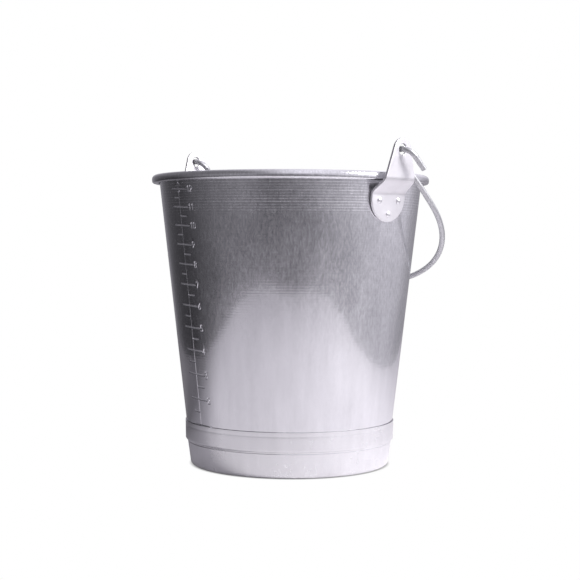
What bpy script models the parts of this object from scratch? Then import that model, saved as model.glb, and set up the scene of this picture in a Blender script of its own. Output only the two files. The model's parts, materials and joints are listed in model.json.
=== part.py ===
"""Twelve-litre aluminium milking pail with a lapped foot ring, two riveted ears and a wire bail.

Metres, +Z up. The origin is the centre of the circle that the pail stands on. The ears are on
+X and -X. At rest the bail has swung back to +Y and leans on the outside of the wall.
"""
import math

import bmesh
import bpy
from mathutils import Matrix, Vector

MM = 0.001
GAP = 0.3 * MM  # air between two pieces that touch

# Vessel: a straight cone of sheet with a flat floor and an outward curl at the mouth.
SHEET = 1.2 * MM
BASE_RADIUS = 103.2 * MM  # outer face of the cone, carried down to Z = 0
TAPER = 0.1147  # growth of the radius with height
FLOOR_HEIGHT = 19.5 * MM  # upper face of the floor
FLOOR_CORNER = 10.0 * MM
RIM_HEIGHT = 297.1 * MM  # centre of the curl
CURL_DIAMETER = 8.8 * MM
CURL_END = math.radians(-120)
RIM_WIRE_DIAMETER = 5.0 * MM

# Foot ring: an upright band over the cone, a step in, and a tapered band with a standing flange.
RING_SHEET = 0.8 * MM
RING_TOP = 46.5 * MM
RING_BAND_BOTTOM = 27.5 * MM
RING_BAND_RADIUS = 109.3 * MM
RING_LEAN = 0.018
RING_STEP_BOTTOM = 24.0 * MM
RING_STEP_RADIUS = 107.25 * MM
RING_HEEL_RADIUS = 104.2 * MM
RING_CORNER = 4.0 * MM
FLANGE_INNER_RADIUS = 90.0 * MM

# Ears: a riveted tongue, an offset past the curl and a pierced plate.
EAR_SHEET = 2.5 * MM
TONGUE_HALF_WIDTH = 24.4 * MM
TONGUE_CENTRE = 277.0 * MM
TONGUE_WRAP = 0.5  # how far the tongue follows the round of the wall
LOWER_BEND = 282.0 * MM
UPPER_BEND = 293.0 * MM
BEND_RADIUS = 3.0 * MM
NECK_HALF_WIDTH = 21.8 * MM
EAR_LEAN = math.radians(5)
HINGE_HEIGHT = 322.8 * MM
EAR_HEAD_RADIUS = 12.4 * MM
EAR_HEAD_CENTRE = HINGE_HEIGHT - 1.2 * MM
EAR_OUTER_FACE = 154.2 * MM  # at the hinge's height
EAR_HOLE_DIAMETER = 11.0 * MM

# Rivets: a domed head outside, a flat one inside.
RIVET_HEAD_RADIUS = 3.4 * MM
RIVET_HEAD_HEIGHT = 1.9 * MM
RIVET_TAIL_RADIUS = 3.6 * MM
RIVET_TAIL_HEIGHT = 1.2 * MM
RIVET_SHANK_RADIUS = 1.6 * MM
RIVET_SPACING = 27.3 * MM
UPPER_RIVETS = 273.5 * MM
LOWER_RIVET = 260.0 * MM

# Bail: one wire, sprung out a little past the ears, half an ellipse at the end, hooked in each ear.
BAIL_WIRE = 5.6 * MM
BAIL_REACH = 185.5 * MM  # hinge axis to the middle of the grip
BAIL_STRAIGHT = 76.0 * MM
BAIL_HALF_WIDTH = 150.0 * MM
HOOK_INNER_RUN = 141.4 * MM
HOOK_RADIUS = 11.5 * MM
HOOK_CENTRE = 11.0 * MM
HOOK_NECK = 30.0 * MM  # where the wire passes the rim
HOOK_NECK_RUN = 146.5 * MM
HOOK_END = 26.5 * MM
HOOK_SPLAY = 1.4 * MM

TURN_STEPS = 64
ALUMINIUM = (0.80, 0.80, 0.82)


def clear_scene():
    for item in list(bpy.data.objects):
        bpy.data.objects.remove(item)


def metal(name, colour, roughness):
    material = bpy.data.materials.new(name)
    material.use_nodes = True
    shader = material.node_tree.nodes["Principled BSDF"]
    shader.inputs["Base Color"].default_value = (*colour, 1)
    shader.inputs["Metallic"].default_value = 1
    shader.inputs["Roughness"].default_value = roughness
    return material


def place(name, data, material, parent=None):
    item = bpy.data.objects.new(name, data)
    bpy.context.scene.collection.objects.link(item)
    data.materials.append(material)
    item.parent = parent
    return item


def wall_outside(height):
    """Radius of the cone's outer face."""
    return BASE_RADIUS + TAPER * height


def arc(centre, radius, start, end, steps):
    """Points on a circle from one angle to another, both included."""
    turns = [start + (end - start) * i / steps for i in range(steps + 1)]
    return [(centre[0] + radius * math.cos(a), centre[1] + radius * math.sin(a)) for a in turns]


def offset_path(points, distance):
    """The path moved sideways, to its left for a positive distance, with mitred corners."""
    path = [Vector(p) for p in points]
    runs = [(b - a).normalized() for a, b in zip(path, path[1:])]
    sides = [Vector((-run.y, run.x)) for run in runs]
    moved = []
    for i, point in enumerate(path):
        before = sides[max(i - 1, 0)]
        after = sides[min(i, len(sides) - 1)]
        moved.append(point + (before + after) * (distance / (1 + before.dot(after))))
    return moved


def sheet_section(points, thickness):
    """The outline of a bent sheet whose middle follows the points."""
    left = offset_path(points, thickness / 2)
    right = offset_path(points, -thickness / 2)
    return left + right[::-1]


def turned_mesh(name, outline, closed, steps=TURN_STEPS):
    """The outline, in radius and height, turned about Z."""
    mesh = bpy.data.meshes.new(name)
    shape = bmesh.new()
    corners = [shape.verts.new((p[0], 0, p[1])) for p in outline]
    pairs = list(zip(corners, corners[1:]))
    if closed:
        pairs.append((corners[-1], corners[0]))
    edges = [shape.edges.new(pair) for pair in pairs]
    bmesh.ops.spin(shape, geom=corners + edges, cent=(0, 0, 0), axis=(0, 0, 1),
                   angle=math.tau, steps=steps, use_merge=True)
    bmesh.ops.remove_doubles(shape, verts=shape.verts, dist=0.001 * MM)
    bmesh.ops.recalc_face_normals(shape, faces=shape.faces)
    shape.to_mesh(mesh)
    shape.free()
    mesh.shade_smooth()
    mesh.set_sharp_from_angle(angle=math.radians(35))
    return mesh


def cut(target, cutter):
    """Subtracts a cutter that stays hidden in the file."""
    cutter.hide_render = True
    cutter.display_type = "WIRE"
    hole = target.modifiers.new(cutter.name, "BOOLEAN")
    hole.operation = "DIFFERENCE"
    hole.object = cutter


def vessel_path():
    """Middle of the vessel's sheet from the centre of the floor to the end of the curl."""
    tilt = math.atan(TAPER)
    middle_base = BASE_RADIUS - SHEET / 2 / math.cos(tilt)
    floor = FLOOR_HEIGHT - SHEET / 2
    corner_height = floor + FLOOR_CORNER
    corner_radius = middle_base + TAPER * corner_height - FLOOR_CORNER / math.cos(tilt)
    curl = (CURL_DIAMETER - SHEET) / 2
    curl_radius = middle_base + TAPER * RIM_HEIGHT + curl / math.cos(tilt)
    path = [(0, floor)]
    path += arc((corner_radius, corner_height), FLOOR_CORNER, -math.pi / 2, -tilt, 5)
    path += arc((curl_radius, RIM_HEIGHT), curl, math.pi - tilt, CURL_END, 12)
    return path, curl_radius


def rivet_places():
    """Angle along the wall and height of the three rivets of one ear."""
    half = RIVET_SPACING / 2 / wall_outside(UPPER_RIVETS)
    return [(half, UPPER_RIVETS), (-half, UPPER_RIVETS), (0, LOWER_RIVET)]


def tongue_lift(angle):
    """How far the flatter tongue stands off the round wall at an angle from its middle."""
    return (1 - TONGUE_WRAP) * (1 - math.cos(angle)) * wall_outside(UPPER_RIVETS)


def rivet_frame(side, place_on_ear):
    """Axes at the outer face of an ear's tongue, with local Z along the wall's normal."""
    angle, height = place_on_ear
    reach = wall_outside(height) + GAP + EAR_SHEET + tongue_lift(angle)
    around = Matrix.Rotation(angle + (0 if side > 0 else math.pi), 4, "Z")
    lean = Matrix.Rotation(math.pi / 2 + math.atan(TAPER), 4, "Y")
    return around @ Matrix.Translation((reach, 0, height)) @ lean


def rivet_hole_cutters(side, label):
    """Rods a little thicker than the rivets' shanks, through the ear and the wall."""
    radius = RIVET_SHANK_RADIUS + GAP
    outline = [(0, -8 * MM), (radius, -8 * MM), (radius, 4 * MM), (0, 4 * MM)]
    mesh = turned_mesh(f"rivet_drill_{label}", outline, False, 16)
    cutters = []
    for number, spot in enumerate(rivet_places(), 1):
        cutter = bpy.data.objects.new(f"rivet_drill_{label}_{number}", mesh)
        bpy.context.scene.collection.objects.link(cutter)
        cutter.matrix_world = rivet_frame(side, spot)
        cutters.append(cutter)
    return cutters


def build_vessel(material):
    path, _ = vessel_path()
    mesh = turned_mesh("pail_body", sheet_section(path, SHEET), False)
    return place("pail_body", mesh, material)


def build_rim_wire(material):
    _, centre = vessel_path()
    outline = arc((centre, RIM_HEIGHT), RIM_WIRE_DIAMETER / 2, 0, math.tau, 8)[:-1]
    return place("rim_wire", turned_mesh("rim_wire", outline, True), material)


def build_foot_ring(material):
    heel = (RING_HEEL_RADIUS - RING_CORNER, RING_CORNER)
    middle = RING_SHEET / 2
    path = [(FLANGE_INNER_RADIUS, middle)]
    path += arc(heel, RING_CORNER - middle, -math.pi / 2, -math.radians(8), 5)
    path.append((RING_STEP_RADIUS - middle, RING_STEP_BOTTOM))
    path.append((RING_BAND_RADIUS - middle, RING_BAND_BOTTOM))
    top = RING_BAND_RADIUS - middle + RING_LEAN * (RING_TOP - RING_BAND_BOTTOM)
    path.append((top, RING_TOP))
    mesh = turned_mesh("foot_ring", sheet_section(path, RING_SHEET), True)
    return place("foot_ring", mesh, material)


def ear_middle(height):
    """Distance from the pail's axis to the middle of the ear's plate, before its bends are rounded."""
    tongue = wall_outside(height) + GAP + EAR_SHEET / 2
    plate = EAR_OUTER_FACE - EAR_SHEET / 2 - math.tan(EAR_LEAN) * (HINGE_HEIGHT - height)
    if height <= LOWER_BEND:
        return tongue
    if height >= UPPER_BEND:
        return plate
    low = wall_outside(LOWER_BEND) + GAP + EAR_SHEET / 2
    high = EAR_OUTER_FACE - EAR_SHEET / 2 - math.tan(EAR_LEAN) * (HINGE_HEIGHT - UPPER_BEND)
    share = (height - LOWER_BEND) / (UPPER_BEND - LOWER_BEND)
    return low + share * (high - low)


def ear_reach(height):
    """The same distance with each bend rounded over the bend radius."""
    near = [ear_middle(height + BEND_RADIUS * step / 4) for step in range(-4, 5)]
    return sum(near) / len(near)


def ear_half_width(height):
    """Half the ear's width: round tongue, narrowing offset, straight flanks and round head."""
    if height < TONGUE_CENTRE:
        drop = TONGUE_CENTRE - height
        return math.sqrt(max(TONGUE_HALF_WIDTH**2 - drop**2, 0))
    if height < LOWER_BEND:
        return TONGUE_HALF_WIDTH
    if height < UPPER_BEND:
        share = (height - LOWER_BEND) / (UPPER_BEND - LOWER_BEND)
        return TONGUE_HALF_WIDTH + share * (NECK_HALF_WIDTH - TONGUE_HALF_WIDTH)
    flank = math.asin((NECK_HALF_WIDTH - EAR_HEAD_RADIUS) / (EAR_HEAD_CENTRE - UPPER_BEND))
    shoulder = EAR_HEAD_CENTRE + EAR_HEAD_RADIUS * math.sin(flank)
    if height < shoulder:
        wide = EAR_HEAD_RADIUS * math.cos(flank)
        return wide + (NECK_HALF_WIDTH - wide) * (shoulder - height) / (shoulder - UPPER_BEND)
    return math.sqrt(max(EAR_HEAD_RADIUS**2 - (height - EAR_HEAD_CENTRE) ** 2, 0))


def ear_heights():
    """Heights of the ear's rows: close together at its round ends and its bends."""
    tongue = arc((TONGUE_CENTRE, 0), TONGUE_HALF_WIDTH, math.pi, math.pi / 2, 8)
    bends = [LOWER_BEND - BEND_RADIUS / 2, LOWER_BEND, LOWER_BEND + BEND_RADIUS,
             UPPER_BEND - BEND_RADIUS, UPPER_BEND, UPPER_BEND + BEND_RADIUS, 306 * MM]
    head = arc((EAR_HEAD_CENTRE, 0), EAR_HEAD_RADIUS, math.radians(105), 0, 8)
    return [p[0] for p in tongue] + bends + [p[0] for p in head]


def ear_point(height, across):
    """A point of the ear's middle surface, which is rounded with the wall low down and flat above."""
    reach = ear_reach(height)
    share = (height - LOWER_BEND) / (UPPER_BEND - LOWER_BEND)
    wrap = TONGUE_WRAP * (1 - min(max(share, 0), 1))
    turn = across / reach
    x = reach - wrap * reach * (1 - math.cos(turn))
    y = across + wrap * (reach * math.sin(turn) - across)
    return Vector((x, y, height))


def ear_mesh():
    columns = 8
    shape = bmesh.new()
    rows = []
    for height in ear_heights():
        half = ear_half_width(height)
        shares = [2 * c / columns - 1 for c in range(columns + 1)]
        rows.append([shape.verts.new(ear_point(height, half * share)) for share in shares])
    for low, high in zip(rows, rows[1:]):
        for c in range(columns):
            shape.faces.new((low[c], low[c + 1], high[c + 1], high[c]))
    bmesh.ops.remove_doubles(shape, verts=shape.verts, dist=0.01 * MM)
    mesh = bpy.data.meshes.new("ear")
    shape.to_mesh(mesh)
    shape.free()
    return mesh


def hinge_drill():
    """A rod along X that pierces both ears for the bail."""
    reach = EAR_OUTER_FACE + 20 * MM
    radius = EAR_HOLE_DIAMETER / 2
    outline = [(0, -reach), (radius, -reach), (radius, reach), (0, reach)]
    drill = bpy.data.objects.new("hinge_drill", turned_mesh("hinge_drill", outline, False, 24))
    bpy.context.scene.collection.objects.link(drill)
    drill.location = (0, 0, HINGE_HEIGHT)
    drill.rotation_euler = (0, math.pi / 2, 0)
    return drill


def build_ear(label, side, mesh, material, drills):
    ear = bpy.data.objects.new(f"ear_{label}", mesh)
    bpy.context.scene.collection.objects.link(ear)
    if not mesh.materials:
        mesh.materials.append(material)
    ear.rotation_euler = (0, 0, 0 if side > 0 else math.pi)
    skin = ear.modifiers.new("sheet", "SOLIDIFY")
    skin.thickness = EAR_SHEET
    skin.offset = 0
    skin.use_even_offset = True
    for drill in drills:
        cut(ear, drill)
    return ear


def rivet_mesh(lift, material):
    """Head, shank and tail in one outline, with the ear's outer face at local Z = 0."""
    stack = EAR_SHEET + GAP + lift + SHEET
    seat = GAP
    bottom = -stack - GAP
    dome = (RIVET_HEAD_RADIUS**2 + RIVET_HEAD_HEIGHT**2) / 2 / RIVET_HEAD_HEIGHT
    half_turn = math.asin(RIVET_HEAD_RADIUS / dome)
    centre = (0, seat + RIVET_HEAD_HEIGHT - dome)
    outline = arc(centre, dome, math.pi / 2, math.pi / 2 - half_turn, 4)
    outline[0] = (0, outline[0][1])
    outline += [(RIVET_SHANK_RADIUS, seat), (RIVET_SHANK_RADIUS, bottom), (RIVET_TAIL_RADIUS, bottom)]
    outline += [(RIVET_TAIL_RADIUS * 0.7, bottom - RIVET_TAIL_HEIGHT), (0, bottom - RIVET_TAIL_HEIGHT)]
    mesh = turned_mesh("rivet", outline, False, 16)
    mesh.materials.append(material)
    return mesh


def build_rivets(label, side, material):
    for number, spot in enumerate(rivet_places(), 1):
        mesh = rivet_mesh(tongue_lift(spot[0]), material)
        rivet = bpy.data.objects.new(f"rivet_{label}_{number}", mesh)
        bpy.context.scene.collection.objects.link(rivet)
        rivet.matrix_world = rivet_frame(side, spot)


def bail_half():
    """Half of the bail in its own plane, from the hook's free end to just before the grip."""
    hook = (HOOK_INNER_RUN + HOOK_RADIUS, HOOK_CENTRE)
    points = [(hook[0] + HOOK_RADIUS + HOOK_SPLAY, HOOK_END)]
    points += arc(hook, HOOK_RADIUS, 0, -math.pi, 8)
    spring = BAIL_HALF_WIDTH - HOOK_NECK_RUN
    for step in range(5):
        share = step / 5
        run = HOOK_NECK_RUN + spring * share * (2 - share)
        points.append((run, HOOK_NECK + (BAIL_STRAIGHT - HOOK_NECK) * share))
    bow = BAIL_REACH - BAIL_STRAIGHT
    for step in range(14):
        turn = math.pi / 2 * step / 14
        points.append((BAIL_HALF_WIDTH * math.cos(turn), BAIL_STRAIGHT + bow * math.sin(turn)))
    return points


def bail_drop():
    """How far below level the bail hangs when the middle of its grip meets the wall."""
    tilt = math.atan(TAPER)
    wall = wall_outside(HINGE_HEIGHT) + BAIL_WIRE / 2 + GAP
    return tilt + math.acos(wall * math.cos(tilt) / BAIL_REACH)


def build_bail(material):
    hinge = bpy.data.objects.new("bail_hinge", None)
    bpy.context.scene.collection.objects.link(hinge)
    hinge.location = (0, 0, HINGE_HEIGHT)
    hinge.rotation_euler = (-bail_drop(), 0, 0)
    right = bail_half()
    left = [(-u, v) for u, v in reversed(right)]
    route = right + [(0, BAIL_REACH)] + left
    curve = bpy.data.curves.new("bail", "CURVE")
    curve.dimensions = "3D"
    curve.bevel_depth = BAIL_WIRE / 2
    curve.bevel_resolution = 3
    curve.use_fill_caps = True
    spline = curve.splines.new("POLY")
    spline.points.add(len(route) - 1)
    for point, (u, v) in zip(spline.points, route):
        point.co = (u, v, 0, 1)
    return place("bail", curve, material, hinge)


def main():
    clear_scene()
    spun = metal("spun_aluminium", ALUMINIUM, 0.32)
    pressed = metal("pressed_aluminium", ALUMINIUM, 0.38)
    wire = metal("zinc_plated_wire", (0.72, 0.73, 0.74), 0.30)
    rivet_metal = metal("rivet_aluminium", (0.86, 0.86, 0.88), 0.25)
    vessel = build_vessel(spun)
    build_rim_wire(wire)
    build_foot_ring(spun)
    plate = ear_mesh()
    hinge = hinge_drill()
    for label, side in (("right", 1), ("left", -1)):
        drills = rivet_hole_cutters(side, label)
        build_ear(label, side, plate, pressed, drills + [hinge])
        build_rivets(label, side, rivet_metal)
        for drill in drills:
            cut(vessel, drill)
    build_bail(wire)


main()
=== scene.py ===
"""Looks of the twelve-litre milk pail.

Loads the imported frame, lays fine meshes with procedural metals over it, and sets the stage, the
light and the camera. Lengths are in metres, and the axes are the frame's own.
"""
import json
import math

import bmesh
import bpy
import numpy as np
from mathutils import Matrix, Vector, noise


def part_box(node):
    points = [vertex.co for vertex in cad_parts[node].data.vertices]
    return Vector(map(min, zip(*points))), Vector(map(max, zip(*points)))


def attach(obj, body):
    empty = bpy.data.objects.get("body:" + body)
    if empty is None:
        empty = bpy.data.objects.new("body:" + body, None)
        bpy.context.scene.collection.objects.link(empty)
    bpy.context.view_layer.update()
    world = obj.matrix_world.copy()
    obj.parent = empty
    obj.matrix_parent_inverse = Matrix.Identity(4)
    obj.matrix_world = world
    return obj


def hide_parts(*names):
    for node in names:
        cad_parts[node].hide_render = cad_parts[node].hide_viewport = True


MM = 0.001
LITRE = 0.001  # in cubic metres
GAP = 0.3 * MM
MERGE = 0.002 * MM  # corners of a turned mesh closer than this become one
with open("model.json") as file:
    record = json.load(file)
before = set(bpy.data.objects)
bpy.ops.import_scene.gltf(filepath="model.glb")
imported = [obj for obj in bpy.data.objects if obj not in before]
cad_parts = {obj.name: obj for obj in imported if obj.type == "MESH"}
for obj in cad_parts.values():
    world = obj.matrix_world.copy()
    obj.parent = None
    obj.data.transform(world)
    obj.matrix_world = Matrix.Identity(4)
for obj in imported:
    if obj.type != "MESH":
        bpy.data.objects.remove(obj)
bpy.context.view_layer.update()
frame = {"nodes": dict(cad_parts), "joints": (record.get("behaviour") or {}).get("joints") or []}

# Vessel: a straight cone of sheet with a flat floor and an outward curl at the mouth.
SHEET = 1.2 * MM
BASE_RADIUS = 103.2 * MM  # outer face of the cone, carried down to Z = 0
TAPER = 0.1147  # growth of the radius with height
TILT = math.atan(TAPER)
FLOOR_HEIGHT = 19.5 * MM
FLOOR_CORNER = 10.0 * MM
CURL_DIAMETER = 8.8 * MM
CURL_END = math.radians(-120)  # where the sheet's free edge stops, about the curl's middle
RIM_HEIGHT = 297.1 * MM  # of the curl's middle
CURL_CORNER = 0.55  # below one, the curl's lower outer quarter is squarer than a circle
WALL_ROWS = 40
WALL_STEP = math.radians(1.6)  # between the wall's columns away from the scale

# Litre scale, pressed into the wall: a stem with ticks and numbers.
SCALE_ANGLE = math.radians(-99.8)
LITRES = 12
SCALE_ZERO = FLOOR_HEIGHT - 0.8 * MM  # the marks fit best counted from a little below the floor
TICK_SLANT = -0.045  # the stamped rows run a little downhill
TICK_REACH = 14.0 * MM  # to each side of the stem
HALF_TICK = 10.0 * MM
TICK_GROOVE = (0.75 * MM, 0.55 * MM)  # half width and depth
STEM_GROOVE = (0.50 * MM, 0.25 * MM)
DIGIT_GROOVE = (0.50 * MM, 0.50 * MM)
DIGIT_HEIGHT = 5.6 * MM
DIGIT_WIDTH = 3.1 * MM
DIGIT_PITCH = 4.3 * MM
LABEL_START = 15.4 * MM
LABEL_DROP = -0.4 * MM
FIRST_LABEL = 2  # the first mark has neither a number nor a half mark below it
STEM_FOOT = 2 * MM  # how far the stem starts below the foot ring's upper edge
STEM_TOP = 4 * MM  # how far it ends above the last mark
UPPER_CHEVRON = (4 * MM, 3.2 * MM, 6.2 * MM)  # half width, then ends and tip above the last mark
LOWER_CHEVRON = (2.5 * MM, -1 * MM, -4 * MM)
SCALE_BOTTOM = 40 * MM  # nothing is pressed in below this
# The mesh under the scale: steps along the wall, and close rows below and above each mark.
FINE_STEP = 0.3 * MM
STEM_STEP = 0.2 * MM
STEM_SIDE = 1 * MM
TICK_STEP = 1.2 * MM
TICK_MARGIN = 1.15  # the close columns begin this much beyond the ticks
MARK_ROWS = (5.0 * MM, 3.2 * MM)
HALF_MARK_ROWS = (1.6 * MM, 1.6 * MM)
LAST_MARK_RISE = 7.5 * MM
CLOSEST_ROWS = 0.05 * MM

# Foot ring: an upright band over the cone, a step in, a small rolled groove and a tapered band.
RING_SHEET = 0.8 * MM
RING_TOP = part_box("foot_ring")[1].z
RING_BAND_BOTTOM = 28.0 * MM
RING_BAND_RADIUS = 109.3 * MM
RING_LEAN = 0.018
RING_STEP_BOTTOM = 26.0 * MM
RING_STEP_RADIUS = 107.25 * MM
RING_HEEL_RADIUS = 104.2 * MM
RING_CORNER = 4.0 * MM
FLANGE_INNER_RADIUS = 90.0 * MM
HEEL_TURN = math.radians(-8)  # where the rounded heel meets the tapered band
STEP_GROOVE = (0.7 * MM, 0.7 * MM, 0.30 * MM)  # distance below the edge over it, half width, depth
BAND_GROOVE = (4.0 * MM, 1.8 * MM, 0.09 * MM)
SPRING_LIFT = 0.5 * MM  # how far the band's edge stands off beside its tack
SPRING_MIDDLE = math.radians(9)
SPRING_WIDTH = math.radians(8)
BAND_WAVE = 0.12 * MM  # how far the edge wanders all around
TACK_ANGLE = math.radians(-91.6)
TACK_SIZE = (1.0 * MM, 1.7 * MM, 0.9 * MM)
TACK_PLACE = (0.5 * MM, 0.1 * MM)  # of its middle, out from the wall and below the ring's edge
TACK_LUMPS = 0.22  # how uneven it is, as a share of its size

# Ears: a riveted tongue, an offset past the curl and a pierced plate.
HINGE_HEIGHT = frame["joints"][0]["pos_m"][2]
EAR_SHEET = 2.5 * MM
EAR_EDGE = 0.45 * MM  # rounding of the plate's edges
TONGUE_HALF_WIDTH = 24.4 * MM
TONGUE_CENTRE = 277.0 * MM
TONGUE_WRAP = 0.5  # how far the tongue follows the round of the wall
LOWER_BEND = 282.0 * MM
UPPER_BEND = 293.0 * MM
BEND_RADIUS = 3.0 * MM
SHOULDER_INSET = 0.15 * MM  # the blank narrows by this from just below the lower bend to just above
SHOULDER_BELOW = 0.6 * MM
SHOULDER_ABOVE = 0.4 * MM
NECK_HALF_WIDTH = 21.8 * MM
EAR_LEAN = math.radians(5)
EAR_HEAD_RADIUS = 12.4 * MM
EAR_HEAD_CENTRE = HINGE_HEIGHT - 1.2 * MM
EAR_OUTER_FACE = 154.2 * MM  # at the hinge's height
EAR_HOLE_RADIUS = 5.5 * MM
EAR_MERGE = 0.001 * MM
BEND_BAND = 5 * MM  # the blank is cut into strips this far to each side of a bend
BEND_SLICE = 0.6 * MM
COLUMN_SLICE = 3 * MM

# Rivets: a domed head outside, a flat one inside.
RIVET_HEAD_RADIUS = 3.4 * MM
RIVET_HEAD_HEIGHT = 1.9 * MM
RIVET_TAIL_RADIUS = 3.6 * MM
RIVET_TAIL_HEIGHT = 1.2 * MM
RIVET_SHANK_RADIUS = 1.6 * MM
RIVET_SEAT = 0.02 * MM  # of air under the head
RIVET_RIM = 0.12 * MM  # upright edge of the head
RIVET_DOME = 0.96  # share of the dome's arc that is drawn, the rest runs into the edge
RIVET_TAIL_ROUND = 0.6  # share of the tail's height that is rounded
RIVET_SPACING = 27.3 * MM
UPPER_RIVETS = 273.5 * MM
LOWER_RIVET = 260.0 * MM

# Bail: one wire, sprung out past the ears, half an ellipse at the end, hooked in each ear.
BAIL_WIRE = 5.6 * MM
BAIL_REACH = 185.5 * MM  # from the hinge's line to the middle of the grip
BAIL_STRAIGHT = 76.0 * MM  # where the ellipse begins
BAIL_HALF_WIDTH = 150.0 * MM
HOOK_INNER_RUN = 141.4 * MM
HOOK_RADIUS = 11.5 * MM
HOOK_CENTRE = 11.0 * MM
HOOK_NECK = 30.0 * MM
HOOK_NECK_RUN = 146.5 * MM
HOOK_END = 26.5 * MM
HOOK_SPLAY = 1.4 * MM
WIRE_CHAMFER = 0.5 * MM
WIRE_SIDES = 24

# Metals: the darkest colour, the lightest colour and the roughness.
WALL_METAL = ((0.66, 0.66, 0.68), (0.98, 0.98, 1.0), 0.19)
RING_METAL = ((0.70, 0.70, 0.71), (0.98, 0.98, 0.99), 0.22)
EAR_METAL = ((0.86, 0.85, 0.87), (0.95, 0.94, 0.96), 0.5)
RIVET_METAL = ((0.84, 0.84, 0.86), (0.96, 0.96, 0.97), 0.36)
WIRE_METAL = ((0.48, 0.49, 0.50), (0.70, 0.70, 0.71), 0.46)
LINE_PITCH = 3.0 * MM  # of the turning lines, along radius plus height
LINES_FROM = 259 * MM  # above this height the wall's turning lines are clear
BRUSHED_FROM = (0.100, 0.190, 0.35, 1.0)  # heights, and the grain's strength at each
SPUN_POLISH = (0.30, 0.07)  # share of smoother metal, and its roughness

# Stage and camera, in the camera's own heading.
CAMERA_ANGLE = math.radians(-44.8)  # where the camera stands, about Z from +X
CAMERA_DISTANCE = 1.3645
CAMERA_HEIGHT = 0.2329
CAMERA_PITCH = math.radians(2.137)
CAMERA_ROLL = math.radians(0.25)
CAMERA_LENS = 80.3
# Light of the room from the far left (0) to the far right (1), near the floor and overhead.
ROOM_LEVELS = ((0.0, 0.05), (0.2, 0.08), (0.4, 0.10), (0.5, 0.12), (0.65, 0.16), (0.85, 0.29), (1.0, 0.43))
CEILING_LEVELS = ((0.0, 0.14), (0.25, 0.20), (0.34, 0.36), (0.42, 0.60), (0.5, 0.84), (0.58, 0.95),
                  (0.8, 0.80), (1.0, 0.55))
# Factors on the room's light: the directions between which each runs, and the factor at both.
BELOW_TABLE = (-0.26, -0.17, 0.9, 1.3)  # by height
NEAR_HORIZON = (-0.16, 0.0, 1.0, 1.7)  # by height
FAR_LEFT = (-0.35, 0.35, 1.95, 0.5)  # from the camera's side to the back, at the far left only
FAR_LEFT_SIDE = (-0.3, -0.7)  # where the far left begins, and where it is full
BACK_WALL = (0.78, 1.0)  # a wall straight behind the pail takes over between these
BACK_WALL_LEVEL = 0.30
BACK_WALL_TURN = 0.2
CEILING_RISE = (0.02, 0.30)  # the ceiling takes over between these heights
ROOM_TINT = (0.97, 0.94, 1.04, 1)
WHITE = (1, 1, 1, 1)
LAMP_PLACE = (0.93, -0.38, 0.87)
LAMP_AIM = (-0.2, 0.08, 0.0)
LAMP_SIZE = 0.45
LAMP_POWER = 4.15
LAMP_SPREAD = math.radians(100)
LAMP_TINT = (1.0, 0.985, 1.0)
TABLE_LEFT = -0.60
TABLE_RIGHT = 0.54
TABLE_FRONT = 0.80
TABLE_BACK = 1.6
TABLE_CORNER = 0.42
# The table's colours carry a painted shadow of the pail: dark at the left and behind, lit towards the near
# right.
TABLE_PAINTED_SHADOW = (0.24, 0.235, 0.24)  # at the left and behind
TABLE_PAINTED_LIT = (0.77, 0.755, 0.77)
TABLE_PAINTED_SHADE = (-0.30, -0.05)  # the table brightens from one to the other, towards the near right
TABLE_NEAR_SIDE = (0.5, -1, 0)
TABLE_RIGHT_WEIGHT = 2.0
# Painted contact shadow: the white that the camera sees on the table dims within this reach of the pail.
CONTACT_REACH = 4 * MM
PAINTED_CONTACT_SHADOW = (0.1, 0.85, 0.3, 1)  # openness, and the white that the camera sees at each


# ---------------------------------------------------------------- shapes


def arc(centre, radius, start, end, steps):
    """Points on a circle from one angle to another, both included."""
    turns = [start + (end - start) * i / steps for i in range(steps + 1)]
    return [(centre[0] + radius * math.cos(a), centre[1] + radius * math.sin(a)) for a in turns]


def offset_path(points, distance):
    """The path moved sideways, to its left for a positive distance, with mitred corners."""
    path = [Vector(p) for p in points]
    runs = [(b - a).normalized() for a, b in zip(path, path[1:])]
    sides = [Vector((-run.y, run.x)) for run in runs]
    moved = []
    for i, point in enumerate(path):
        before = sides[max(i - 1, 0)]
        after = sides[min(i, len(sides) - 1)]
        moved.append(point + (before + after) * (distance / (1 + before.dot(after))))
    return moved


def wall_outside(height):
    """Radius of the cone's outer face."""
    return BASE_RADIUS + TAPER * height


def even_angles(steps):
    """Angles of a full turn in equal steps."""
    return [math.tau * i / steps for i in range(steps)]


def link_mesh(name, mesh, material, body, nodes=()):
    """Puts a mesh in the scene as a piece that rides on a body."""
    piece = bpy.data.objects.new(name, mesh)
    bpy.context.scene.collection.objects.link(piece)
    mesh.materials.clear()
    mesh.materials.append(material)
    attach(piece, body)
    if nodes:
        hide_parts(*nodes)
    return piece


def quads_between(low, high, count):
    """Faces from one ring of corners to another, each ring given by its number."""
    return [(low * count + left, low * count + (left + 1) % count,
             high * count + (left + 1) % count, high * count + left) for left in range(count)]


def turned_mesh(name, outline, angles, relief=None, closed=False, crease=40):
    """The outline, in radius and height, turned about Z. Relief is added to the radius."""
    rings = np.array([tuple(p) for p in outline])
    turns = np.array(angles)
    radius = np.repeat(rings[:, :1], len(turns), axis=1)
    lift = np.zeros_like(radius) if relief is None else relief(rings, turns)
    radius = radius + lift
    height = np.repeat(rings[:, 1:], len(turns), axis=1)
    points = np.stack([radius * np.cos(turns), radius * np.sin(turns), height], axis=-1)
    faces = []
    for low in range(len(rings) if closed else len(rings) - 1):
        faces += quads_between(low, (low + 1) % len(rings), len(turns))
    mesh = bpy.data.meshes.new(name)
    mesh.from_pydata(points.reshape(-1, 3).tolist(), [], faces)
    store(mesh, "relief", lift.reshape(-1))
    tidy(mesh, crease)
    return mesh


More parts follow.
